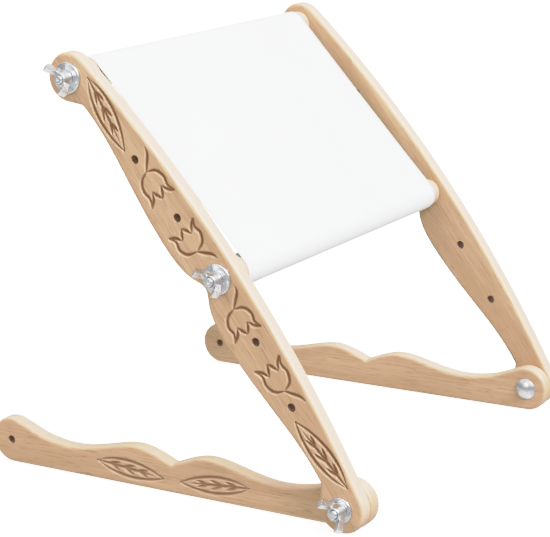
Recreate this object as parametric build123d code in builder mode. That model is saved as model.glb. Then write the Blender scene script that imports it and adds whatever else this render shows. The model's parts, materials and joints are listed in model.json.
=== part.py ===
"""Roller embroidery frame on a folding table stand.

Two boards (arms) carry a pair of rollers with a canvas stretched between them. Each arm turns on a carriage
bolt at the end of a foot that lies on the table, and wing nuts clamp the bolts and the roller studs.

Millimetres. X runs across the frame, Y along the feet away from the user, +Z up. The origin is on the
table, in the middle of the four corners of the feet.
"""

import os
from math import atan2, cos, degrees, hypot, radians, sin

from build123d import *

# Arms and feet: boards of one thickness with softened edges.
BOARD_THICKNESS = 12.0
EDGE_ROUND = 3.0
HOLE_RADIUS = 3.2  # drilled for M6
INNER_SPACING = 300.0  # between the inner faces of the two arms
FACE_GAP = 0.2  # running gap between parts that turn face to face

# Foot, drawn from the side and symmetric about its middle.
FOOT_HOLE_SPACING = 290.0
FOOT_END_RADIUS = 17.5
PIVOT_HEIGHT = 18.0
# The top edge from the middle notch outwards: (distance from the middle, height).
FOOT_TOP = [(0, 22.0), (12, 26.8), (28, 30.8), (52, 27.8), (92, 21.6), (118, 25.8)]
FOOT_NOTCH_SLOPE = 0.42
FOOT_SHOULDER_ANGLE = 20.0  # where the top edge runs into the round end, from the vertical
NOTCH_ROUND = 2.0

# Arm, drawn in its own frame: u along the line from the pivot to the top roller, v towards the user.
ARM_TILT = 53.0  # of the u axis above the table
ARM_LENGTH = 350.0  # pivot to top roller
ARM_END_RADIUS = 17.5
ARM_CROWN = 32.7  # height of the user's edge above the u axis, in the middle
HOLE_PITCH = 50.0
HOLE_CROWN = 16.0  # rise of the curved row of holes, in the middle
# The back edge from the neck of the round end to the middle nick: (u, v), mirrored about the middle.
ARM_BACK = [(42, -2.1), (92, -6.1), (130, -8.4), (153, -6.9), (165.5, -2.6)]
ARM_NICK = (ARM_LENGTH / 2, 1.6)
ARM_NECK_RUN = 12.9  # straight run from the round end to the neck corner, at 45 degrees
NECK_ROUND = 3.0

# Rollers and canvas.
ROLLER_RADIUS = 11.0
ROLLER_CHAMFER = 0.8
CANVAS_GAP = 0.3
CANVAS_THICKNESS = 0.6
CANVAS_WIDTH = 280.0

# M6 hardware.
STUD_RADIUS = 3.0
STUD_GRIP = 25.0  # depth of a roller stud in the end grain
STUD_PILOT_RADIUS = 2.8
THREAD_END_CHAMFER = 0.6
TIP_PROUD = 1.5  # thread showing past the nut
ROLLER_WASHER_RADIUS = 11.0
ROLLER_WASHER_THICKNESS = 2.0
PIVOT_WASHER_RADIUS = 9.0
PIVOT_WASHER_THICKNESS = 1.6
WASHER_CHAMFER = 0.3
BOLT_HEAD_RADIUS = 8.275
BOLT_HEAD_RIM = 0.6
BOLT_HEAD_HEIGHT = 3.9
BOLT_NECK_WIDTH = 6.2
BOLT_NECK_LENGTH = 4.0
NUT_BORE_RADIUS = 3.05
NUT_BASE_RADIUS = 6.2
NUT_TOP_RADIUS = 4.8
NUT_BOSS_HEIGHT = 8.0
NUT_WING_THICKNESS = 4.0
# One wing: (height above the base, distance from the axis). Its four outer corners are rounded.
NUT_WING = [(1.2, 3.6), (1.2, 6.0), (10.2, 12.6), (16.0, 12.9), (16.4, 9.3), (7.4, 3.6)]
NUT_WING_ROUND = 1.6
# The way each nut's wings point at rest, in degrees above the +Y direction.
UPPER_NUT_ANGLE = 57.0
LOWER_NUT_ANGLE = 39.0
PIVOT_NUT_ANGLE = 54.0

PIVOT = (-FOOT_HOLE_SPACING / 2, PIVOT_HEIGHT)
ARM_INNER_X = INNER_SPACING / 2
ARM_OUTER_X = ARM_INNER_X + BOARD_THICKNESS
FOOT_OUTER_X = ARM_INNER_X - FACE_GAP
FOOT_INNER_X = FOOT_OUTER_X - BOARD_THICKNESS
ROLLER_HALF_LENGTH = ARM_INNER_X - FACE_GAP
SIDES = {"left": -1, "right": 1}


def hole_v(u):
    """Height of the row of holes above the u axis."""
    middle = ARM_LENGTH / 2
    return HOLE_CROWN * (1 - ((u - middle) / middle) ** 2)


def arm_point(u, v):
    """(y, z) of a point given in the arm's own frame."""
    angle = radians(ARM_TILT)
    return (PIVOT[0] + u * cos(angle) - v * sin(angle), PIVOT[1] + u * sin(angle) + v * cos(angle))


def arm_plane(x):
    """The arm's own frame at a given x, with its normal along +X."""
    angle = radians(ARM_TILT)
    return Plane(origin=(x, *PIVOT), x_dir=(0, cos(angle), sin(angle)), z_dir=(1, 0, 0))


def axis_plane(x, centre, sign, angle=0.0):
    """Plane through a bolt's axis: local x runs outwards along it, local y radially at the given angle."""
    turn = radians(angle)
    return Plane(origin=(x, *centre), x_dir=(sign, 0, 0), z_dir=(0, -sign * sin(turn), sign * cos(turn)))


UPPER_U = ARM_LENGTH
LOWER_U = ARM_LENGTH / 2
UPPER_UV = (UPPER_U, hole_v(UPPER_U))
LOWER_UV = (LOWER_U, hole_v(LOWER_U))
UPPER = arm_point(*UPPER_UV)
LOWER = arm_point(*LOWER_UV)
HOLES_U = [0.0] + [LOWER_U + step * HOLE_PITCH for step in range(-2, 3)] + [UPPER_U]


# ---- Feet ----


def make_foot(start_x):
    shoulder = radians(FOOT_SHOULDER_ANGLE)
    end_y = FOOT_HOLE_SPACING / 2
    shoulder_y = end_y - FOOT_END_RADIUS * sin(shoulder)
    shoulder_z = FOOT_END_RADIUS * (1 + cos(shoulder))
    with BuildPart() as foot:
        with BuildSketch(Plane.YZ.offset(start_x)):
            with BuildLine():
                for way in (1, -1):
                    Spline(
                        [(way * y, z) for y, z in FOOT_TOP] + [(way * shoulder_y, shoulder_z)],
                        tangents=[(way, FOOT_NOTCH_SLOPE), (way * cos(shoulder), sin(shoulder))],
                    )
                    ThreePointArc(
                        (way * shoulder_y, shoulder_z),
                        (way * (end_y + FOOT_END_RADIUS), FOOT_END_RADIUS),
                        (way * end_y, 0),
                    )
                Line((-end_y, 0), (end_y, 0))
            outline = make_face()
            notch = outline.vertices().sort_by_distance(FOOT_TOP[0])[0]
            fillet(notch, radius=NOTCH_ROUND)
        extrude(amount=BOARD_THICKNESS)
        fillet(foot.faces().filter_by(Axis.X).edges(), radius=EDGE_ROUND)
        with BuildSketch(Plane.YZ.offset(start_x)):
            with Locations((-end_y, PIVOT_HEIGHT), (end_y, PIVOT_HEIGHT)):
                Circle(HOLE_RADIUS)
        extrude(amount=BOARD_THICKNESS, mode=Mode.SUBTRACT)
    return foot.part


# ---- Arms ----


def make_arm(start_x):
    half = ARM_LENGTH / 2
    crown_radius = (half**2 + ARM_CROWN**2 - ARM_END_RADIUS**2) / (2 * (ARM_CROWN - ARM_END_RADIUS))
    lean = atan2(half, crown_radius - ARM_CROWN)
    crown_start = (-ARM_END_RADIUS * sin(lean), ARM_END_RADIUS * cos(lean))
    crown_end = (ARM_LENGTH - crown_start[0], crown_start[1])
    heel = ARM_END_RADIUS * sin(radians(45))
    neck_step = ARM_NECK_RUN * sin(radians(45))
    neck = (heel + neck_step, -heel + neck_step)
    back = [neck, *ARM_BACK, ARM_NICK]
    back += [(ARM_LENGTH - u, v) for u, v in reversed(back[:-1])]
    with BuildPart() as arm:
        with BuildSketch(arm_plane(start_x)):
            with BuildLine():
                ThreePointArc(crown_start, (half, ARM_CROWN), crown_end)
                ThreePointArc(crown_end, (ARM_LENGTH + ARM_END_RADIUS, 0), (ARM_LENGTH - heel, -heel))
                Line((ARM_LENGTH - heel, -heel), back[-1])
                Spline(back)
                Line(back[0], (heel, -heel))
                ThreePointArc((heel, -heel), (-ARM_END_RADIUS, 0), crown_start)
            outline = make_face()
            necks = [outline.vertices().sort_by_distance(corner)[0] for corner in (back[0], back[-1])]
            fillet(necks, radius=NECK_ROUND)
        extrude(amount=BOARD_THICKNESS)
        fillet(arm.faces().filter_by(Axis.X).edges(), radius=EDGE_ROUND)
        with BuildSketch(arm_plane(start_x)):
            with Locations([(u, hole_v(u)) for u in HOLES_U]):
                Circle(HOLE_RADIUS)
        extrude(amount=BOARD_THICKNESS, mode=Mode.SUBTRACT)
    return arm.part


# ---- Rollers and their canvas ----


def make_roller(centre):
    with BuildPart() as roller:
        with BuildSketch(Plane.YZ.offset(-ROLLER_HALF_LENGTH)):
            with Locations(centre):
                Circle(ROLLER_RADIUS)
        extrude(amount=2 * ROLLER_HALF_LENGTH)
        chamfer(roller.edges().filter_by(GeomType.CIRCLE), length=ROLLER_CHAMFER)
        for start in (-ROLLER_HALF_LENGTH, ROLLER_HALF_LENGTH - STUD_GRIP):
            with BuildSketch(Plane.YZ.offset(start)):
                with Locations(centre):
                    Circle(STUD_PILOT_RADIUS)
            extrude(amount=STUD_GRIP, mode=Mode.SUBTRACT)
    return roller.part


def make_canvas():
    inner = ROLLER_RADIUS + CANVAS_GAP
    outer = inner + CANVAS_THICKNESS
    along = (UPPER_UV[0] - LOWER_UV[0], UPPER_UV[1] - LOWER_UV[1])
    span = hypot(*along)
    with BuildPart() as canvas:
        with BuildSketch(arm_plane(-CANVAS_WIDTH / 2)):
            with Locations(UPPER_UV, LOWER_UV):
                Circle(outer)
                Circle(inner, mode=Mode.SUBTRACT)
            with Locations(Location((*LOWER_UV, 0), (0, 0, degrees(atan2(along[1], along[0]))))):
                with Locations((0, inner)):
                    Rectangle(span, CANVAS_THICKNESS, align=(Align.MIN, Align.MIN))
        extrude(amount=CANVAS_WIDTH)
    return canvas.part


# ---- Hardware ----


def make_stud(centre, sign):
    """Threaded from the roller's end grain out through arm, washer and nut."""
    tip_x = ARM_OUTER_X + ROLLER_WASHER_THICKNESS + FACE_GAP + NUT_BOSS_HEIGHT + TIP_PROUD
    root_x = ROLLER_HALF_LENGTH - STUD_GRIP
    with BuildPart() as stud:
        with BuildSketch(axis_plane(sign * root_x, centre, sign)):
            with BuildLine():
                Polyline(
                    (0, 0),
                    (0, STUD_RADIUS - THREAD_END_CHAMFER),
                    (THREAD_END_CHAMFER, STUD_RADIUS),
                    (tip_x - root_x - THREAD_END_CHAMFER, STUD_RADIUS),
                    (tip_x - root_x, STUD_RADIUS - THREAD_END_CHAMFER),
                    (tip_x - root_x, 0),
                    close=True,
                )
            make_face()
        revolve(axis=Axis((0, *centre), (1, 0, 0)))
    return stud.part


def make_pivot_bolt(sign):
    """Carriage bolt: domed head on the inner face of the foot, square neck drawn into the wood."""
    length = (BOARD_THICKNESS + FACE_GAP + BOARD_THICKNESS + PIVOT_WASHER_THICKNESS
              + FACE_GAP + NUT_BOSS_HEIGHT + TIP_PROUD)
    rise = BOLT_HEAD_HEIGHT - BOLT_HEAD_RIM
    dome_radius = (BOLT_HEAD_RADIUS**2 + rise**2) / (2 * rise)
    half_turn = atan2(BOLT_HEAD_RADIUS, dome_radius - rise) / 2
    dome_middle = (dome_radius * (1 - cos(half_turn)) - BOLT_HEAD_HEIGHT, dome_radius * sin(half_turn))
    plane = axis_plane(sign * FOOT_INNER_X, PIVOT, sign)
    with BuildPart() as bolt:
        with BuildSketch(plane):
            with BuildLine():
                ThreePointArc((-BOLT_HEAD_HEIGHT, 0), dome_middle, (-BOLT_HEAD_RIM, BOLT_HEAD_RADIUS))
                Polyline(
                    (-BOLT_HEAD_RIM, BOLT_HEAD_RADIUS),
                    (0, BOLT_HEAD_RADIUS),
                    (0, STUD_RADIUS),
                    (length - THREAD_END_CHAMFER, STUD_RADIUS),
                    (length, STUD_RADIUS - THREAD_END_CHAMFER),
                    (length, 0),
                    (-BOLT_HEAD_HEIGHT, 0),
                )
            make_face()
        revolve(axis=Axis((0, *PIVOT), (1, 0, 0)))
        with BuildSketch(Plane(origin=(sign * FOOT_INNER_X, *PIVOT), z_dir=(sign, 0, 0))):
            Rectangle(BOLT_NECK_WIDTH, BOLT_NECK_WIDTH)
        extrude(amount=BOLT_NECK_LENGTH)
    return bolt.part


def make_washer(centre, sign, radius, thickness):
    with BuildPart() as washer:
        with BuildSketch(Plane(origin=(sign * ARM_OUTER_X, *centre), z_dir=(sign, 0, 0))):
            Circle(radius)
            Circle(HOLE_RADIUS, mode=Mode.SUBTRACT)
        extrude(amount=thickness)
        rim = washer.edges().filter_by(GeomType.CIRCLE).filter_by(lambda edge: edge.radius > HOLE_RADIUS)
        chamfer(rim, length=WASHER_CHAMFER)
    return washer.part


def make_wing_nut(centre, sign, base_x, angle):
    plane = axis_plane(sign * base_x, centre, sign, angle)
    with BuildPart() as nut:
        with BuildSketch(plane):
            with BuildLine():
                Polyline(
                    (0, 0),
                    (0, NUT_BASE_RADIUS),
                    (NUT_BOSS_HEIGHT, NUT_TOP_RADIUS),
                    (NUT_BOSS_HEIGHT, 0),
                    close=True,
                )
            make_face()
        revolve(axis=Axis((0, *centre), (1, 0, 0)))
        for way in (1, -1):
            with BuildSketch(plane):
                with BuildLine():
                    Polyline([(height, way * reach) for height, reach in NUT_WING], close=True)
                wing = make_face()
                outer_corners = wing.vertices().sort_by_distance((0, 0))[2:]
                fillet(outer_corners, radius=NUT_WING_ROUND)
            extrude(amount=NUT_WING_THICKNESS / 2, both=True)
        with BuildSketch(Plane(origin=(sign * base_x, *centre), z_dir=(sign, 0, 0))):
            Circle(NUT_BORE_RADIUS)
        extrude(amount=NUT_BOSS_HEIGHT, mode=Mode.SUBTRACT)
    return nut.part


# ---- Assembly ----


def board_start_x(inner_x, sign):
    """The lower x of a board whose inner face is at +/- inner_x."""
    return inner_x if sign > 0 else -inner_x - BOARD_THICKNESS


pieces = {
    "upper_roller": make_roller(UPPER),
    "lower_roller": make_roller(LOWER),
    "canvas": make_canvas(),
}
roller_nut_x = ARM_OUTER_X + ROLLER_WASHER_THICKNESS + FACE_GAP
pivot_nut_x = ARM_OUTER_X + PIVOT_WASHER_THICKNESS + FACE_GAP
for side, sign in SIDES.items():
    pieces[f"{side}_foot"] = make_foot(board_start_x(FOOT_INNER_X, sign))
    pieces[f"{side}_arm"] = make_arm(board_start_x(ARM_INNER_X, sign))
    pieces[f"{side}_pivot_bolt"] = make_pivot_bolt(sign)
    pieces[f"{side}_pivot_washer"] = make_washer(PIVOT, sign, PIVOT_WASHER_RADIUS, PIVOT_WASHER_THICKNESS)
    pieces[f"{side}_pivot_wing_nut"] = make_wing_nut(PIVOT, sign, pivot_nut_x, PIVOT_NUT_ANGLE)
    for level, centre, nut_angle in (("upper", UPPER, UPPER_NUT_ANGLE), ("lower", LOWER, LOWER_NUT_ANGLE)):
        name = f"{level}_{side}"
        pieces[f"{name}_stud"] = make_stud(centre, sign)
        pieces[f"{name}_washer"] = make_washer(centre, sign, ROLLER_WASHER_RADIUS, ROLLER_WASHER_THICKNESS)
        pieces[f"{name}_wing_nut"] = make_wing_nut(centre, sign, roller_nut_x, nut_angle)

os.makedirs("parts", exist_ok=True)
for name, part in pieces.items():
    part.label = name
    export_step(part, f"parts/{name}.step")
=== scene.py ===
"""Looks of the carved roller embroidery frame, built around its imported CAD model.

The frame is in metres, X across, Y along the feet, Z up. Sizes below are in millimetres, as on a bench
drawing, and are turned into metres where the meshes are made. Places come from the CAD nodes' boxes.
"""

import json
from math import atan2, ceil, cos, floor, hypot, pi, radians, sin

import bmesh
import bpy
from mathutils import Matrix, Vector


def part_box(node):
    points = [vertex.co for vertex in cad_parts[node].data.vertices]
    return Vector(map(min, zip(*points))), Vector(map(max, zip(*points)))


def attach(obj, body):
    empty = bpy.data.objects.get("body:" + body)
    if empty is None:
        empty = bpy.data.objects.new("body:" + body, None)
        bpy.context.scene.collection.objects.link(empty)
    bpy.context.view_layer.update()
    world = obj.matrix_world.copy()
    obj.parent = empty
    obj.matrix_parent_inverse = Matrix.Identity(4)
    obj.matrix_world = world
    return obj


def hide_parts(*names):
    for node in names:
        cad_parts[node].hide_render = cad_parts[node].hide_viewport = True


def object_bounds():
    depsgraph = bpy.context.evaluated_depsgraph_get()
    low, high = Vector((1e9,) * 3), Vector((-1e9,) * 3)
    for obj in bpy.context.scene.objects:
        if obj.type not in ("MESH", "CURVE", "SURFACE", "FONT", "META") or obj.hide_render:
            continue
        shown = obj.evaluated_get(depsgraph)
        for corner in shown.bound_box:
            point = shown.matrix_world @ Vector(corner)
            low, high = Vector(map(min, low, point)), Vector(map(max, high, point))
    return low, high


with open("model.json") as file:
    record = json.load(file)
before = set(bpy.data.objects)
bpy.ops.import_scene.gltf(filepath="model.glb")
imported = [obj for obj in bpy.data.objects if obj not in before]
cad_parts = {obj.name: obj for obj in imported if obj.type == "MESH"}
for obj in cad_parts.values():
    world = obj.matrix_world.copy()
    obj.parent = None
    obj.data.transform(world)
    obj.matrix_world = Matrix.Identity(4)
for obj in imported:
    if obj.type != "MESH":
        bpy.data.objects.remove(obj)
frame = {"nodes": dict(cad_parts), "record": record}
CAD_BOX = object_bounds()
MM = 0.001
SIDES = {"left": -1, "right": 1}


# ---- Camera ----

SENSOR_WIDTH = 36.0
CAMERA_LENS = 127.4
CAMERA_PLACE = (-1.2245, -0.7540, 0.4930)
CAMERA_TURN = (75.909, 1.399, -58.675)  # degrees


def make_camera():
    data = bpy.data.cameras.new("camera")
    data.sensor_width = SENSOR_WIDTH
    data.lens = CAMERA_LENS
    camera = bpy.data.objects.new("camera", data)
    camera.location = CAMERA_PLACE
    camera.rotation_euler = [radians(turn) for turn in CAMERA_TURN]
    bpy.context.scene.collection.objects.link(camera)
    bpy.context.scene.camera = camera


make_camera()


# ---- Where things are ----


def middle(node):
    low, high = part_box(node)
    return (low + high) / 2


def outer_x(node, sign):
    """The x of a node's face that looks away from the middle of the frame."""
    low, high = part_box(node)
    return high.x if sign > 0 else low.x


def inner_x(node, sign):
    return outer_x(node, -sign)


PIVOT = middle("left_pivot_washer")
TOP = middle("upper_left_washer")
LOWER = middle("lower_left_washer")
ARM_TILT = atan2(TOP.z - PIVOT.z, TOP.y - PIVOT.y)
ARM_HALF = hypot(TOP.y - PIVOT.y, TOP.z - PIVOT.z) / MM / 2
FOOT_MIDDLE_Y = middle("left_foot").y


def arm_place(u, v):
    """(y, z) in metres of a point on an arm: u from the pivot towards the top roller, v towards the user."""
    return (PIVOT.y + (u * cos(ARM_TILT) - v * sin(ARM_TILT)) * MM,
            PIVOT.z + (u * sin(ARM_TILT) + v * cos(ARM_TILT)) * MM)


def foot_place(s, h):
    """(y, z) in metres of a point on a foot: s from its middle along +Y, h above the pivot."""
    return (FOOT_MIDDLE_Y + s * MM, PIVOT.z + h * MM)


# ---- Materials ----


class Shader:
    """A material built node by node. An input that is given a socket is linked, any other value is set."""

    def __init__(self, name):
        self.material = bpy.data.materials.new(name)
        self.material.use_nodes = True
        self.tree = self.material.node_tree
        self.tree.nodes.clear()
        self.surface = self.add("ShaderNodeBsdfPrincipled")
        self.add("ShaderNodeOutputMaterial", Surface=self.surface.outputs[0])

    def add(self, kind, settings=None, **inputs):
        node = self.tree.nodes.new(kind)
        for name, value in (settings or {}).items():
            setattr(node, name, value)
        for name, value in inputs.items():
            self.feed(node, name.replace("_", " "), value)
        return node

    def feed(self, node, name, value):
        socket = node.inputs[int(name[1:])] if name[0] == "i" and name[1:].isdigit() else node.inputs[name]
        if isinstance(value, bpy.types.NodeSocket):
            self.tree.links.new(value, socket)
        else:
            socket.default_value = value

    def object_point(self, rotation=(0, 0, 0), scale=(1, 1, 1)):
        """The point in the object's own frame, turned and then stretched."""
        point = self.add("ShaderNodeTexCoord").outputs["Object"]
        turned = self.add("ShaderNodeMapping", Vector=point, Rotation=rotation)
        return self.add("ShaderNodeMapping", Vector=turned.outputs[0], Scale=scale).outputs[0]

    def noise(self, point, scale, detail=2.0, roughness=0.5):
        node = self.add("ShaderNodeTexNoise", Vector=point, Scale=scale, Detail=detail, Roughness=roughness)
        return node.outputs["Fac"]

    def span(self, value, low, high, to_low=0.0, to_high=1.0):
        node = self.add("ShaderNodeMapRange", {"interpolation_type": "SMOOTHSTEP"}, Value=value,
                        From_Min=low, From_Max=high, To_Min=to_low, To_Max=to_high)
        return node.outputs[0]

    def math(self, operation, first, second=0.0):
        return self.add("ShaderNodeMath", {"operation": operation}, i0=first, i1=second).outputs[0]

    def mix(self, share, first, second):
        node = self.add("ShaderNodeMix", {"data_type": "RGBA"})
        self.feed(node, "i0", share)
        self.feed(node, "i6", first)
        self.feed(node, "i7", second)
        return node.outputs[2]

    def bump(self, height, strength, distance):
        node = self.add("ShaderNodeBump", Height=height, Strength=strength, Distance=distance)
        self.feed(self.surface, "Normal", node.outputs[0])


BEECH_LIGHT = (0.505, 0.346, 0.204, 1)
BEECH_DARK = (0.405, 0.260, 0.140, 1)
BEECH_ROSY = (0.500, 0.318, 0.192, 1)
# Paler tone for a painted highlight on the boards' edges.
BEECH_EDGE_HIGHLIGHT = (0.530, 0.388, 0.285, 1)
BEECH_FLECK = (0.270, 0.148, 0.072, 1)
BEECH_END = (0.380, 0.235, 0.130, 1)
# Dark brown for the painted shade deep in carved lines and holes, partly also the browned cut wood.
CUT_STAIN_AND_SHADE = (0.245, 0.105, 0.034, 1)
GRAIN_STRETCH = (1, 0.06, 1)
FIBRE_STRETCH = (1, 0.022, 1)


def beech(name, grain_way, rotation, cut_face=None, shade=0.0):
    """Beech with its grain along the turned Y, with a painted highlight that makes the boards' edges paler
    than their broad faces, and darker where it is cut across the grain.

    With cut_face, the |x| of the carved face, it is the wood inside a carved line or a drilled hole, which is
    darker the deeper it goes, up to the share given as shade: painted shade, partly also browned cut wood."""
    shader = Shader(name)
    grain = shader.object_point(rotation, GRAIN_STRETCH)
    bands = shader.span(shader.noise(grain, 95, 5, 0.6), 0.36, 0.66)
    colour = shader.mix(bands, BEECH_LIGHT, BEECH_DARK)
    rosy = shader.span(shader.noise(grain, 26, 2), 0.45, 0.70, 0, 0.7)
    colour = shader.mix(rosy, colour, BEECH_ROSY)
    fibre = shader.noise(shader.object_point(rotation, FIBRE_STRETCH), 900, 4, 0.65)
    colour = shader.mix(shader.span(fibre, 0.44, 0.64, 0, 0.8), colour, BEECH_DARK)
    fleck = shader.noise(grain, 980, 3, 0.6)
    colour = shader.mix(shader.span(fleck, 0.56, 0.68, 0, 0.6), colour, BEECH_FLECK)
    facing = shader.add("ShaderNodeTexCoord").outputs["Normal"]
    sideways = shader.math("ABSOLUTE", shader.add("ShaderNodeSeparateXYZ", Vector=facing).outputs[0])
    # Painted highlight: faces turned away from X, the boards' edges, are mixed towards a paler tone.
    colour = shader.mix(shader.span(sideways, 0.55, 0.96, 0.65, 0), colour, BEECH_EDGE_HIGHLIGHT)
    along = shader.add("ShaderNodeVectorMath", {"operation": "DOT_PRODUCT"}, i0=facing, i1=grain_way)
    cross_cut = shader.span(shader.math("ABSOLUTE", along.outputs["Value"]), 0.50, 0.98, 0, 0.5)
    colour = shader.mix(cross_cut, colour, BEECH_END)
    if cut_face is not None:
        point = shader.add("ShaderNodeTexCoord").outputs["Object"]
        across = shader.add("ShaderNodeSeparateXYZ", Vector=point).outputs[0]
        depth = shader.math("SUBTRACT", cut_face, shader.math("ABSOLUTE", across))
        # Painted shade: below the carved face the wood turns dark brown with depth, partly also as browned
        # cut wood.
        colour = shader.mix(shader.span(depth, 0.0002, 0.0012, 0.0, shade), colour, CUT_STAIN_AND_SHADE)
    shader.feed(shader.surface, "Base Color", colour)
    shader.feed(shader.surface, "Roughness", shader.span(fibre, 0.3, 0.8, 0.46, 0.62))
    shader.surface.inputs["Specular IOR Level"].default_value = 0.42
    shader.bump(fibre, 0.25, 0.0002)
    return shader.material


ZINC_BRIGHT = (0.76, 0.77, 0.78, 1)
ZINC_DULL = (0.54, 0.55, 0.57, 1)


def zinc():
    """Bright zinc plate: a soft mirror with a faint mottle and fine tumbling marks."""
    shader = Shader("zinc_plate")
    point = shader.object_point()
    mottle = shader.noise(point, 260, 3, 0.6)
    fine = shader.noise(point, 2600, 2, 0.5)
    colour = shader.mix(shader.span(mottle, 0.35, 0.70), ZINC_BRIGHT, ZINC_DULL)
    shader.feed(shader.surface, "Base Color", colour)
    shader.surface.inputs["Metallic"].default_value = 1.0
    shader.feed(shader.surface, "Roughness", shader.span(mottle, 0.3, 0.75, 0.23, 0.38))
    shader.bump(fine, 0.10, 0.0001)
    return shader.material


CANVAS_GAP = (0.640, 0.640, 0.598, 1)
CANVAS_THREAD = (0.730, 0.732, 0.694, 1)
CANVAS_SLUB = (0.710, 0.700, 0.655, 1)
CANVAS_CLOUD = (0.750, 0.750, 0.720, 1)
THREAD_PITCH = 0.75
WAVES_PER_UNIT = 10 / pi  # the wave texture's bands in one unit, at a scale of 1


def canvas_cloth():
    """Plain weave, with the warp and weft in the cloth's own flat metres."""
    shader = Shader("canvas_weave")
    flat = shader.add("ShaderNodeUVMap", {"uv_map": "flat"}).outputs[0]
    waves = []
    for direction in ("X", "Y"):
        node = shader.add("ShaderNodeTexWave", {"bands_direction": direction}, Vector=flat,
                          Scale=1 / WAVES_PER_UNIT / (THREAD_PITCH * MM), Distortion=0.6,
                          Detail=1.0, Detail_Scale=0.3)
        waves.append(node.outputs["Fac"])
    weave = shader.math("MULTIPLY", waves[0], waves[1])
    slub = shader.noise(shader.add("ShaderNodeMapping", Vector=flat, Scale=(1, 0.1, 1)).outputs[0], 420, 3)
    cloud = shader.noise(flat, 14, 3, 0.6)
    colour = shader.mix(shader.span(weave, 0.0, 0.5), CANVAS_GAP, CANVAS_THREAD)
    colour = shader.mix(shader.span(slub, 0.45, 0.75, 0, 0.35), colour, CANVAS_SLUB)
    colour = shader.mix(shader.span(cloud, 0.35, 0.70, 0, 0.30), colour, CANVAS_CLOUD)
    shader.feed(shader.surface, "Base Color", colour)
    shader.surface.inputs["Roughness"].default_value = 0.88
    shader.surface.inputs["Specular IOR Level"].default_value = 0.2
    shader.surface.inputs["Sheen Weight"].default_value = 0.15
    shader.bump(shader.math("ADD", weave, shader.math("MULTIPLY", slub, 0.6)), 0.45, 0.0002)
    return shader.material


FLOOR_GLOW = 1.5
FLOOR_WHITE = (0.93, 0.93, 0.93, 1)
FLOOR_GREY = (0.90, 0.90, 0.90, 1)


def studio_floor():
    """A white table top and wall that glow, and so show plain white."""
    shader = Shader("studio_floor")
    cloud = shader.noise(shader.object_point(), 1.5, 2)
    colour = shader.mix(shader.span(cloud, 0.3, 0.7), FLOOR_WHITE, FLOOR_GREY)
    shader.feed(shader.surface, "Base Color", colour)
    shader.surface.inputs["Roughness"].default_value = 0.9
    shader.surface.inputs["Emission Color"].default_value = (1, 1, 1, 1)
    shader.surface.inputs["Emission Strength"].default_value = FLOOR_GLOW
    return shader.material


# The way the grain runs, and the turn that brings it onto Y.
ARM_GRAIN = ((0, cos(ARM_TILT), sin(ARM_TILT)), (-ARM_TILT, 0, 0))
FOOT_GRAIN = ((0, 1, 0), (0, 0, 0))
ROLLER_GRAIN = ((1, 0, 0), (0, 0, pi / 2))
ZINC = zinc()
BEECH_ROLLER = beech("beech_roller", *ROLLER_GRAIN)


# ---- Meshes ----


def new_piece(name, mesh_builder, material, body, node, smooth_angle):
    """Makes a mesh object from a bmesh, hides the CAD node it stands for, and hangs it on the body it moves
    with.
    """
    bmesh.ops.recalc_face_normals(mesh_builder, faces=mesh_builder.faces)
    mesh = bpy.data.meshes.new(name)
    mesh_builder.to_mesh(mesh)
    mesh_builder.free()
    piece = bpy.data.objects.new(name, mesh)
    bpy.context.scene.collection.objects.link(piece)
    mesh.materials.append(material)
    smooth(mesh, smooth_angle)
    stand_for(piece, body, node)
    return piece


def smooth(mesh, angle):
    mesh.polygons.foreach_set("use_smooth", [True] * len(mesh.polygons))
    mesh.set_sharp_from_angle(angle=radians(angle))


def stand_for(piece, body, node):
    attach(piece, body)
    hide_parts(node)


# ---- Carved boards ----

# Half of each motif on its own axis: the share of the cut's full width at a line's start and end, then the
# points it runs through, as (share of the length, share of the half width).
LEAF_HALF = [
    (0.20, 0.55, [(0, 0), (0.22, 0.72), (0.50, 1.0), (0.78, 0.66), (1, 0)]),
    (0.45, 0.10, [(0.18, 0), (0.26, 0.26), (0.36, 0.52)]),
    (0.45, 0.10, [(0.38, 0), (0.47, 0.30), (0.58, 0.60)]),
    (0.45, 0.10, [(0.60, 0), (0.68, 0.22), (0.77, 0.42)]),
]
LEAF_RIB = (0.55, 0.15, [(0, 0), (0.4, 0), (0.88, 0)])
TULIP_HALF = [
    (0.40, 0.60, [(0.40, 0), (0.48, 0.55), (0.66, 0.80), (0.84, 0.72), (1.0, 0.95)]),
    (0.60, 0.20, [(1.0, 0.95), (0.90, 0.58), (0.76, 0.34)]),
    (0.35, 0.50, [(0.76, 0.34), (0.87, 0.20), (0.98, 0)]),
]
TULIP_STEM = (0.15, 0.55, [(0, 0.80), (0.14, 0.68), (0.28, 0.32), (0.40, 0)])


def motif(half, middle_line, base, tip, half_width):
    """A symmetric motif laid on the board from its base to its tip, with its one middle line."""
    start, end = Vector(base), Vector(tip)
    along = end - start
    across = Vector((-along.y, along.x)).normalized() * half_width
    both = half + [(first, last, [(share, -side) for share, side in points]) for first, last, points in half]
    return [(first, last, [tuple(start + along * share + across * side) for share, side in points])
            for first, last, points in [*both, middle_line]]


LEAF = motif(LEAF_HALF, LEAF_RIB, (9, 14), (66, 7), 7)
TULIP_LOW = motif(TULIP_HALF, TULIP_STEM, (72, 13), (109, 13), 13)
TULIP_HIGH = motif(TULIP_HALF, TULIP_STEM, (165, 14), (132, 12.5), -14)
FOOT_LEAF = motif(LEAF_HALF, LEAF_RIB, (66, -3), (7, -8), 6)
CUT_HALF_WIDTH = 1.95
CUT_DEPTH = 1.9
CUT_LIP = 0.16
CUT_STEP = 0.8
CUT_SWELL = 2.2
CUTTER_ABOVE = 0.5
# The section of a cut on one side: (share of the half width, share of the depth below the lip).
CUT_SECTION = [(1.0, 0.0), (0.72, 0.13), (0.40, 0.64), (0.12, 0.98)]


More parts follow.
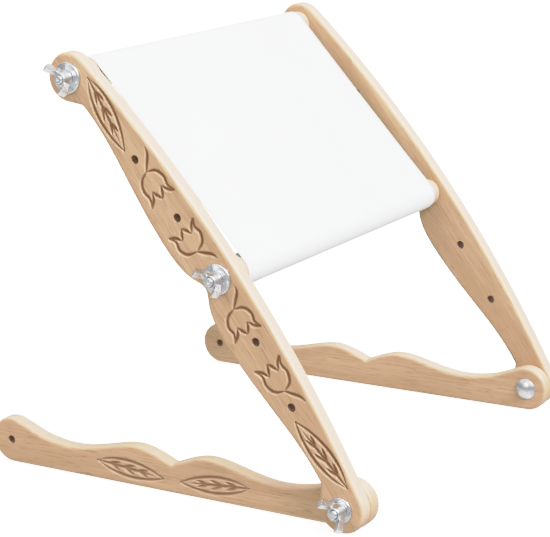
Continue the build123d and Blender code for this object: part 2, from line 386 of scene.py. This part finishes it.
def along_curve(points, step):
    """Points about a step apart on a smooth curve through the given ones, and the share of its length."""
    spots = [Vector(point) for point in points]
    ends = [2 * spots[0] - spots[1], *spots, 2 * spots[-1] - spots[-2]]
    line = [spots[0]]
    for before, start, end, after in zip(ends, ends[1:], ends[2:], ends[3:]):
        count = max(2, ceil((end - start).length / step))
        leave = (end - before) / 6
        arrive = (after - start) / 6
        reach = (end - start).length / 3
        leave = leave.normalized() * min(leave.length, reach)
        arrive = arrive.normalized() * min(arrive.length, reach)
        for number in range(1, count + 1):
            t = number / count
            line.append((1 - t)**3 * start + 3 * (1 - t)**2 * t * (start + leave)
                        + 3 * (1 - t) * t**2 * (end - arrive) + t**3 * end)
    lengths = [0.0]
    for start, end in zip(line, line[1:]):
        lengths.append(lengths[-1] + (end - start).length)
    return line, [length / lengths[-1] for length in lengths]


def cut_width(share, start, end):
    """A cut swells from its start to the full width and thins towards its end."""
    swell = 1 - abs(2 * share - 1)**CUT_SWELL
    edge = start + (end - start) * share
    return CUT_HALF_WIDTH * (edge + (1 - edge) * swell)


def add_cut(builder, points, start, end, place, face_x, inward):
    line, shares = along_curve(points, CUT_STEP)
    rings = []
    for index, (spot, share) in enumerate(zip(line, shares)):
        ahead = line[min(index + 1, len(line) - 1)] - line[max(index - 1, 0)]
        across = Vector((-ahead.y, ahead.x)).normalized()
        half = cut_width(share, start, end)
        depth = CUT_DEPTH * half / CUT_HALF_WIDTH
        section = [(half + CUT_LIP, -CUTTER_ABOVE), (half + CUT_LIP, 0.0)]
        section += [(half * wide, CUT_LIP * 0.7 + (depth - CUT_LIP) * deep) for wide, deep in CUT_SECTION]
        section = section + [(-wide, deep) for wide, deep in reversed(section)]
        ring = []
        for offset, below in section:
            y, z = place(*(spot + across * offset))
            ring.append(builder.verts.new((face_x + inward * below * MM, y, z)))
        rings.append(ring)
    for first, second in zip(rings, rings[1:]):
        for index in range(len(first)):
            after = (index + 1) % len(first)
            builder.faces.new((first[index], first[after], second[after], second[index]))
    builder.faces.new(list(reversed(rings[0])))
    builder.faces.new(rings[-1])


def mirrored(strokes, middle_at):
    return [(start, end, [(2 * middle_at - along, up) for along, up in points])
            for start, end, points in strokes]


ARM_CUTS = LEAF + TULIP_LOW + TULIP_HIGH
ARM_CUTS = ARM_CUTS + mirrored(ARM_CUTS, ARM_HALF)
FOOT_CUTS = FOOT_LEAF + mirrored(FOOT_LEAF, 0.0)


def make_cutter(start, end, points, place, face_x, sign):
    builder = bmesh.new()
    add_cut(builder, points, start, end, place, face_x, -sign)
    bmesh.ops.recalc_face_normals(builder, faces=builder.faces)
    mesh = bpy.data.meshes.new("cutter")
    builder.to_mesh(mesh)
    builder.free()
    mesh.polygons.foreach_set("material_index", [1] * len(mesh.polygons))
    cutter = bpy.data.objects.new("cutter", mesh)
    bpy.context.scene.collection.objects.link(cutter)
    return cutter


def carve(piece, cutters):
    """Cuts the strokes out of the board one after another, and keeps only the cut mesh."""
    for cutter in cutters:
        cut = piece.modifiers.new("carving", "BOOLEAN")
        cut.operation = "DIFFERENCE"
        cut.solver = "MANIFOLD"
        cut.object = cutter
    weigh = piece.modifiers.new("even_faces", "WEIGHTED_NORMAL")
    weigh.keep_sharp = True
    bpy.context.view_layer.update()
    graph = bpy.context.evaluated_depsgraph_get()
    cut_mesh = bpy.data.meshes.new_from_object(piece.evaluated_get(graph), preserve_all_data_layers=True,
                                               depsgraph=graph)
    piece.modifiers.clear()
    piece.data = cut_mesh
    for cutter in cutters:
        bpy.data.objects.remove(cutter)


BOARD_SMOOTH = 28
HOLE_REACH = 3.3
HOLE_SHADE = 0.45
WELD_DISTANCE = 0.001
ARM_CUT_SHADE = 0.9
FOOT_CUT_SHADE = 0.6


def make_board(node, body, strokes, place, holes, sign, grain, cut_shade):
    """A shaped board with the CAD's outline, carved on its outer face."""
    face_x = outer_x(node, sign)
    builder = bmesh.new()
    builder.from_mesh(frame["nodes"][node].data)
    bmesh.ops.remove_doubles(builder, verts=builder.verts, dist=WELD_DISTANCE * MM)
    bmesh.ops.recalc_face_normals(builder, faces=builder.faces)
    centres = [Vector(place(*hole)) for hole in holes]
    for face in builder.faces:
        spots = [Vector((vert.co.y, vert.co.z)) for vert in face.verts]
        in_hole = any(all((spot - centre).length < HOLE_REACH * MM for spot in spots) for centre in centres)
        face.material_index = 2 if in_hole else 0
    name = f"{node}_board"
    mesh = bpy.data.meshes.new(name)
    builder.to_mesh(mesh)
    builder.free()
    mesh.materials.append(beech(f"beech_{node}", *grain))
    mesh.materials.append(beech(f"beech_{node}_cut", *grain, abs(face_x), cut_shade))
    mesh.materials.append(beech(f"beech_{node}_hole", *grain, abs(face_x), HOLE_SHADE))
    smooth(mesh, BOARD_SMOOTH)
    piece = bpy.data.objects.new(name, mesh)
    bpy.context.scene.collection.objects.link(piece)
    carve(piece, [make_cutter(*stroke, place, face_x, sign) for stroke in strokes])
    stand_for(piece, body, node)


HOLE_PITCH = 50.0
LOWER_V = (LOWER.z - PIVOT.z) * cos(ARM_TILT) - (LOWER.y - PIVOT.y) * sin(ARM_TILT)
ARM_HOLES_U = [0.0] + [ARM_HALF + step * HOLE_PITCH for step in range(-2, 3)] + [2 * ARM_HALF]
ARM_HOLES = [(u, LOWER_V / MM * (1 - ((u - ARM_HALF) / ARM_HALF)**2)) for u in ARM_HOLES_U]
FOOT_HOLES = [(side * (PIVOT.y - FOOT_MIDDLE_Y) / MM, 0.0) for side in (-1, 1)]

for side, sign in SIDES.items():
    make_board(f"{side}_arm", "frame", ARM_CUTS, arm_place, ARM_HOLES, sign, ARM_GRAIN, ARM_CUT_SHADE)
    make_board(f"{side}_foot", f"{side}_foot", FOOT_CUTS, foot_place, FOOT_HOLES, sign,
               FOOT_GRAIN, FOOT_CUT_SHADE)


# ---- Rollers ----

for level in ("upper", "lower"):
    roller = frame["nodes"][f"{level}_roller"]
    roller.data.materials.clear()
    roller.data.materials.append(BEECH_ROLLER)


# ---- Canvas ----

CLOTH_THICKNESS = 0.30
CLOTH_CLEAR = 0.02
WRAP_TURNS = 1.4
CLOTH_STEP = 2.0
CLOTH_WAIST = 0.9
CLOTH_RIPPLE = 0.10
RIPPLE_ACROSS = 21
RIPPLE_SWELL = 9
RIPPLE_DRIFT = 3
WRAP_FINENESS = 1.6


def make_canvas():
    """One sheet, wound onto both rollers in a spiral and pulled tight between them on the user's side."""
    low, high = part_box("canvas")
    roller_low, roller_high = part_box("upper_roller")
    roller_radius = (roller_high.z - roller_low.z) / 2 / MM
    inner = roller_radius + CLOTH_THICKNESS / 2 + CLOTH_CLEAR
    layer = CLOTH_THICKNESS + CLOTH_CLEAR
    outer = inner + WRAP_TURNS * layer
    top = Vector((TOP.y, TOP.z)) / MM
    bottom = Vector((LOWER.y, LOWER.z)) / MM
    up = (top - bottom).normalized()
    out = Vector((-up.y, up.x))
    turn = 2 * pi * WRAP_TURNS
    steps = ceil(turn * outer / CLOTH_STEP * WRAP_FINENESS)
    line = []
    for index in range(steps + 1):
        share = index / steps
        angle = turn * (1 - share)
        radius = inner + (outer - inner) * share
        line.append(top + radius * (out * cos(angle) + up * sin(angle)))
    flat_steps = ceil((top - bottom).length / CLOTH_STEP)
    for index in range(1, flat_steps):
        line.append(top.lerp(bottom, index / flat_steps) + out * outer)
    for index in range(steps + 1):
        share = index / steps
        angle = turn * share
        radius = outer + (inner - outer) * share
        line.append(bottom + radius * (out * cos(angle) - up * sin(angle)))
    lengths = [0.0]
    for start, end in zip(line, line[1:]):
        lengths.append(lengths[-1] + (end - start).length)
    width = (high.x - low.x) / MM
    columns = ceil(width / CLOTH_STEP / 2)
    span_start, span_end = lengths[steps], lengths[steps + flat_steps]
    builder = bmesh.new()
    flat_map = builder.loops.layers.uv.new("flat")
    rows = []
    spots = {}
    for point, length in zip(line, lengths):
        free = max(0.0, min(1.0, (length - span_start) / (span_end - span_start)))
        slack = sin(pi * free)
        row = []
        for column in range(columns + 1):
            across = column / columns - 0.5
            x = across * (width - 2 * CLOTH_WAIST * slack)
            wave = sin(across * RIPPLE_ACROSS + RIPPLE_DRIFT * free) * cos(across * RIPPLE_SWELL)
            wave = CLOTH_RIPPLE * slack * wave
            y, z = point + out * wave
            vert = builder.verts.new((x * MM, y * MM, z * MM))
            spots[vert] = (across * width * MM, length * MM)
            row.append(vert)
        rows.append(row)
    for first, second in zip(rows, rows[1:]):
        for column in range(columns):
            face = builder.faces.new((first[column], first[column + 1], second[column + 1], second[column]))
            for loop in face.loops:
                loop[flat_map].uv = spots[loop.vert]
    sheet = new_piece("canvas_cloth", builder, canvas_cloth(), "frame", "canvas", 80)
    thick = sheet.modifiers.new("cloth_thickness", "SOLIDIFY")
    thick.thickness = CLOTH_THICKNESS * MM
    thick.offset = 0.0


make_canvas()


# ---- Turned hardware ----

TURN_SEGMENTS = 48
TURNED_SMOOTH = 30
BEND_STEPS = 5
SQUARE_CORNER = 0.88


def round_row(radius):
    return lambda angle: radius


def square_row(half):
    """Radius of a square neck with softened corners."""
    corner_reach = half / SQUARE_CORNER**2 * 1.04
    return lambda angle: min(half / max(abs(cos(angle)), abs(sin(angle))), corner_reach)


def thread_rows(start, end, radius, depth, pitch):
    """Rows of a screw thread, which runs out over its first and last turn."""
    count = ceil((end - start) / (pitch / 8))
    rows = []
    for index in range(count + 1):
        height = start + (end - start) * index / count
        fade = min(1.0, (height - start) / pitch, (end - height) / (pitch / 2))

        def thread_radius(angle, height=height, fade=fade):
            phase = height / pitch - angle / (2 * pi)
            groove = 1 - abs(2 * (phase - floor(phase)) - 1)
            return radius - depth * fade * min(1.0, max(0.0, groove * 1.25 - 0.125))

        rows.append((height, thread_radius))
    return rows


def turned(name, rows, centre, base_x, sign, body, node, ring=False):
    """A turned piece from rows of (distance outwards, radius function). A ring's last row joins its first."""
    builder = bmesh.new()
    loops = []
    for height, radius in rows:
        loop = []
        for index in range(TURN_SEGMENTS):
            turn = 2 * pi * index / TURN_SEGMENTS
            reach = radius(turn) * MM
            loop.append(builder.verts.new((base_x + sign * height * MM, centre.y + reach * cos(turn),
                                           centre.z + reach * sin(turn))))
        loops.append(loop)
    pairs = list(zip(loops, loops[1:]))
    if ring:
        pairs.append((loops[-1], loops[0]))
    for first, second in pairs:
        for index in range(TURN_SEGMENTS):
            after = (index + 1) % TURN_SEGMENTS
            builder.faces.new((first[index], first[after], second[after], second[index]))
    if not ring:
        builder.faces.new(loops[0])
        builder.faces.new(loops[-1])
    new_piece(name, builder, ZINC, body, node, TURNED_SMOOTH)


def corner_rows(height, radius, bend):
    """Rows round an outer corner of the given bend radius, from the side to the top."""
    rows = []
    for index in range(BEND_STEPS + 1):
        angle = pi / 2 * index / BEND_STEPS
        rows.append((height + bend * sin(angle), round_row(radius + bend * cos(angle))))
    return rows


WASHER_HOLE = 3.2
WASHER_BEND = 0.38  # of its thickness
WASHER_BURR = 0.12
WASHER_FLARE = 0.30


def make_washer(node, sign):
    """A punched washer: rounded outer edge on the punch side, a slight burr chamfer in the hole."""
    low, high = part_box(node)
    radius = (high.y - low.y) / 2 / MM
    thickness = (high.x - low.x) / MM
    bend = thickness * WASHER_BEND
    rows = [(WASHER_BURR, round_row(WASHER_HOLE)), (0, round_row(WASHER_HOLE + WASHER_BURR)),
            (0, round_row(radius - 0.15)), (WASHER_BURR, round_row(radius))]
    rows += corner_rows(thickness - bend, radius - bend, bend)
    rows += [(thickness, round_row(WASHER_HOLE + 0.35)), (thickness - WASHER_FLARE, round_row(WASHER_HOLE))]
    turned(f"{node}_punched", rows, middle(node), inner_x(node, sign), sign, "frame", node, ring=True)


STUD_RADIUS = 3.0
STUD_POINT = [(0, 0.9), (2.4, 2.2)]
WOOD_THREAD_START = 2.6
WOOD_THREAD_PITCH = 2.6
WOOD_THREAD_DEPTH = 0.9
STEEL_THREAD_PITCH = 1.0
STEEL_THREAD_DEPTH = 0.55
TIP_CHAMFER = 0.6
DIMPLE_RADIUS = 1.3
DIMPLE_DEPTH = 0.9
PLAIN_COLLAR = 0.006  # metres of machine thread inside the roller, before the wood thread starts


def make_stud(node, sign, body):
    """A hanger bolt: wood screw in the roller, machine thread through the arm and the nut."""
    low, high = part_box(node)
    length = (high.x - low.x) / MM
    wood_end = (inner_x(node, sign) * -sign + abs(middle("left_arm").x) - PLAIN_COLLAR) / MM
    rows = [(height, round_row(radius)) for height, radius in STUD_POINT]
    rows += thread_rows(WOOD_THREAD_START, wood_end, STUD_RADIUS, WOOD_THREAD_DEPTH, WOOD_THREAD_PITCH)
    rows += thread_rows(wood_end + 0.3, length - TIP_CHAMFER, STUD_RADIUS, STEEL_THREAD_DEPTH,
                        STEEL_THREAD_PITCH)
    rows += [(length, round_row(STUD_RADIUS - TIP_CHAMFER)), (length, round_row(DIMPLE_RADIUS)),
             (length - DIMPLE_DEPTH, round_row(DIMPLE_RADIUS / 4))]
    turned(f"{node}_threaded", rows, middle(node), inner_x(node, sign), sign, body, node)


HEAD_RADIUS = 8.275
HEAD_HEIGHT = 3.9
HEAD_RIM = 0.6
NECK_HALF = 3.1
NECK_LENGTH = 4.0
DOME_ROWS = 14
PLAIN_SHANK = 14.0


def make_pivot_bolt(node, sign, body):
    """A carriage bolt: domed head, square neck, plain shank, machine thread."""
    low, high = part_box(node)
    length = (high.x - low.x) / MM - HEAD_HEIGHT
    rise = HEAD_HEIGHT - HEAD_RIM
    dome = (HEAD_RADIUS**2 + rise**2) / (2 * rise)
    lean = atan2(HEAD_RADIUS, dome - rise)
    rows = []
    for index in range(DOME_ROWS + 1):
        turn = lean * max(0.02, index / DOME_ROWS)
        rows.append((-HEAD_HEIGHT + dome * (1 - cos(turn)), round_row(dome * sin(turn))))
    rows += [(-HEAD_RIM * 0.65, round_row(HEAD_RADIUS)), (-0.12, round_row(HEAD_RADIUS)),
             (0, round_row(HEAD_RADIUS - 0.15)), (0, square_row(NECK_HALF)),
             (NECK_LENGTH - 0.6, square_row(NECK_HALF)), (NECK_LENGTH, round_row(STUD_RADIUS))]
    rows += [(PLAIN_SHANK, round_row(STUD_RADIUS))]
    rows += thread_rows(PLAIN_SHANK + 0.2, length - TIP_CHAMFER, STUD_RADIUS, STEEL_THREAD_DEPTH,
                        STEEL_THREAD_PITCH)
    rows += [(length, round_row(STUD_RADIUS - TIP_CHAMFER))]
    base_x = inner_x(node, sign) + sign * HEAD_HEIGHT * MM
    turned(f"{node}_forged", rows, middle(node), base_x, sign, body, node)


# ---- Wing nuts ----

NUT_SEGMENTS = 16
WING_SMOOTHING = 3
BORE = 3.05
# The boss from its base to its top: (height, radius). The wings grow out of the rows from WING_ROW on.
NUT_BOSS = [(0.0, 6.0), (0.4, 6.25), (1.9, 6.1), (4.6, 5.5), (7.0, 4.95), (7.7, 4.8), (8.0, 4.45)]
WING_ROWS = (2, 4)
# Steps of a wing outwards: the (height, reach) of its lower and upper edge, and its thickness.
WING_STEPS = [
    ((3.7, 7.5), (9.2, 5.9), 4.2),
    ((7.3, 10.2), (12.4, 7.5), 4.1),
    ((10.2, 12.3), (15.2, 9.0), 4.1),
    ((11.2, 12.8), (16.2, 9.6), 4.0),
]
WING_CREASE = 0.5
WING_END_CREASE = 0.65


def make_wing_nut(node, sign):
    """A cast wing nut: a conical boss with two wings drawn out of it, smoothed by subdivision."""
    low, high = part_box(node)
    centre = middle(node)
    angle = atan2(high.z - low.z, high.y - low.y)
    base_x = inner_x(node, sign)
    builder = bmesh.new()
    crease = builder.edges.layers.float.new("crease_edge")
    across = Vector((0, cos(angle), sin(angle)))
    upright = Vector((0, -sin(angle), cos(angle)))
    outward = Vector((sign, 0, 0))
    origin = Vector((base_x, centre.y, centre.z))

    def spot(height, reach, side):
        return origin + (outward * height + across * reach + upright * side) * MM

    top = NUT_BOSS[-1][0]
    profile = NUT_BOSS + [(top, BORE + 0.5), (top - 0.4, BORE), (0.4, BORE), (0.0, BORE + 0.4)]
    rings = []
    for height, radius in profile:
        ring = []
        for index in range(NUT_SEGMENTS):
            turn = 2 * pi * index / NUT_SEGMENTS
            ring.append(builder.verts.new(spot(height, radius * cos(turn), radius * sin(turn))))
        rings.append(ring)
    for level in range(len(rings)):
        first, second = rings[level], rings[(level + 1) % len(rings)]
        for index in range(NUT_SEGMENTS):
            after = (index + 1) % NUT_SEGMENTS
            on_wing = WING_ROWS[0] <= level < WING_ROWS[1]
            if on_wing and index in (NUT_SEGMENTS - 1, 0, NUT_SEGMENTS // 2 - 1, NUT_SEGMENTS // 2):
                continue
            builder.faces.new((first[index], first[after], second[after], second[index]))
    for way, start in ((1, 0), (-1, NUT_SEGMENTS // 2)):
        columns = [(start - 1) % NUT_SEGMENTS, start, (start + 1) % NUT_SEGMENTS]
        levels = range(WING_ROWS[0], WING_ROWS[1] + 1)
        grid = [[rings[level][column] for column in columns] for level in levels]
        for (low_height, low_reach), (top_height, top_reach), thickness in WING_STEPS:
            step = []
            for row in range(len(grid)):
                share = row / (len(grid) - 1)
                height = low_height + (top_height - low_height) * share
                reach = low_reach + (top_reach - low_reach) * share
                step.append([builder.verts.new(spot(height, way * reach, way * thickness * (column - 1) / 2))
                             for column in range(3)])
            edge = border(grid)
            next_edge = border(step)
            for index in range(len(edge)):
                after = (index + 1) % len(edge)
                builder.faces.new((edge[index], edge[after], next_edge[after], next_edge[index]))
            for row, column in ((0, 0), (0, -1), (-1, 0), (-1, -1)):
                builder.edges.get((grid[row][column], step[row][column]))[crease] = WING_CREASE
            grid = step
        end = border(grid)
        for first, second in zip(end, end[1:] + end[:1]):
            builder.edges.get((first, second))[crease] = WING_END_CREASE
        for row in range(len(grid) - 1):
            for column in range(2):
                builder.faces.new((grid[row][column], grid[row][column + 1],
                                   grid[row + 1][column + 1], grid[row + 1][column]))
    loose = [vert for vert in builder.verts if not vert.link_faces]
    bmesh.ops.delete(builder, geom=loose, context="VERTS")
    piece = new_piece(f"{node}_cast", builder, ZINC, node_body(node), node, 180)
    rounder = piece.modifiers.new("rounding", "SUBSURF")
    rounder.levels = WING_SMOOTHING
    rounder.render_levels = WING_SMOOTHING


def border(grid):
    """The vertices round a grid's edge, in order."""
    last = len(grid) - 1
    edge = list(grid[0])
    edge += [grid[row][-1] for row in range(1, last)]
    edge += list(reversed(grid[last]))
    edge += [grid[row][0] for row in range(last - 1, 0, -1)]
    return edge


def node_body(node):
    return next(body for body, nodes in frame["record"]["behaviour"]["bodies"].items() if node in nodes)


for side, sign in SIDES.items():
    for level in ("upper", "lower"):
        make_washer(f"{level}_{side}_washer", sign)
        make_stud(f"{level}_{side}_stud", sign, f"{level}_roller")
        make_wing_nut(f"{level}_{side}_wing_nut", sign)
    make_washer(f"{side}_pivot_washer", sign)
    make_pivot_bolt(f"{side}_pivot_bolt", sign, f"{side}_foot")
    make_wing_nut(f"{side}_pivot_wing_nut", sign)


# ---- Studio ----


COVE_RADIUS = 13.0
COVE_BEND = 3.0
COVE_HEIGHT = 9.0
COVE_SEGMENTS = 64
COVE_BEND_STEPS = 8
TABLE_RINGS = (0.5, 2.0, 5.0)
TABLE_GAP = 0.0002


def make_cove():
    """A round white table top that bends up into a wall all round, like a photographer's cove."""
    low = CAD_BOX[0].z - TABLE_GAP
    rows = [(radius, low) for radius in TABLE_RINGS]
    for index in range(COVE_BEND_STEPS + 1):
        turn = pi / 2 * index / COVE_BEND_STEPS
        rows.append((COVE_RADIUS - COVE_BEND * (1 - sin(turn)), low + COVE_BEND * (1 - cos(turn))))
    rows.append((COVE_RADIUS, low + COVE_HEIGHT))
    builder = bmesh.new()
    turns = [2 * pi * index / COVE_SEGMENTS for index in range(COVE_SEGMENTS)]
    rings = []
    for radius, height in rows:
        rings.append([builder.verts.new((radius * cos(turn), radius * sin(turn), height)) for turn in turns])
    builder.faces.new(rings[0])
    for first, second in zip(rings, rings[1:]):
        for index in range(COVE_SEGMENTS):
            after = (index + 1) % COVE_SEGMENTS
            builder.faces.new((first[index], second[index], second[after], first[after]))
    mesh = bpy.data.meshes.new("studio_cove")
    builder.to_mesh(mesh)
    builder.free()
    mesh.materials.append(studio_floor())
    smooth(mesh, 30)
    cove = bpy.data.objects.new("studio_cove", mesh)
    # Its light stays off the object, so that the object's sides keep their shading.
    cove.visible_diffuse = False
    cove.visible_glossy = False
    cove.visible_shadow = False
    bpy.context.scene.collection.objects.link(cove)


OBJECT_MIDDLE = (0, 0, 0.15)
COOL_WHITE = (0.87, 0.90, 1.0)
WHITE = (1, 1, 1)


def area_light(name, place, size, energy, colour):
    data = bpy.data.lights.new(name, "AREA")
    data.shape = "DISK"
    data.size = size
    data.energy = energy
    data.color = colour
    light = bpy.data.objects.new(name, data)
    light.location = place
    light.rotation_euler = (Vector(OBJECT_MIDDLE) - Vector(place)).to_track_quat("-Z", "Y").to_euler()
    bpy.context.scene.collection.objects.link(light)


WORLD_LOW = 0.32
WORLD_HIGH = 1.2
WORLD_FULL_AT = 0.8


def make_world():
    """Soft white surroundings, brighter overhead and underfoot than at the horizon."""
    world = bpy.data.worlds.new("studio")
    bpy.context.scene.world = world
    world.use_nodes = True
    tree = world.node_tree
    tree.nodes.clear()
    point = tree.nodes.new("ShaderNodeTexCoord")
    parts = tree.nodes.new("ShaderNodeSeparateXYZ")
    steepness = tree.nodes.new("ShaderNodeMath")
    steepness.operation = "ABSOLUTE"
    glow = tree.nodes.new("ShaderNodeMapRange")
    glow.inputs["From Max"].default_value = WORLD_FULL_AT
    glow.inputs["To Min"].default_value = WORLD_LOW
    glow.inputs["To Max"].default_value = WORLD_HIGH
    background = tree.nodes.new("ShaderNodeBackground")
    background.inputs["Color"].default_value = (1, 1, 1, 1)
    output = tree.nodes.new("ShaderNodeOutputWorld")
    tree.links.new(point.outputs["Generated"], parts.inputs[0])
    tree.links.new(parts.outputs["Z"], steepness.inputs[0])
    tree.links.new(steepness.outputs[0], glow.inputs["Value"])
    tree.links.new(glow.outputs[0], background.inputs["Strength"])
    tree.links.new(background.outputs[0], output.inputs[0])


# The picture's tone curve, as (scene brightness, picture brightness): a camera's soft shoulder.
COMBINED_CURVE = 3
TONE_WHITE = 2.4
TONE_POINTS = [(0.40, 0.40), (0.75, 0.72), (1.20, 0.865), (1.70, 0.935)]


def soften_highlights():
    view = bpy.context.scene.view_settings
    view.view_transform = "Standard"
    view.use_curve_mapping = True
    curves = view.curve_mapping
    curves.white_level = (TONE_WHITE, TONE_WHITE, TONE_WHITE)
    for brightness, shown in TONE_POINTS:
        curves.curves[COMBINED_CURVE].points.new(brightness / TONE_WHITE, shown)
    curves.update()


make_cove()
make_world()
area_light("key", place=(-0.8, -2.9, 2.9), size=1.8, energy=318, colour=COOL_WHITE)
area_light("fill", place=(-2.6, 0.3, 1.2), size=1.3, energy=23, colour=WHITE)
soften_highlights()
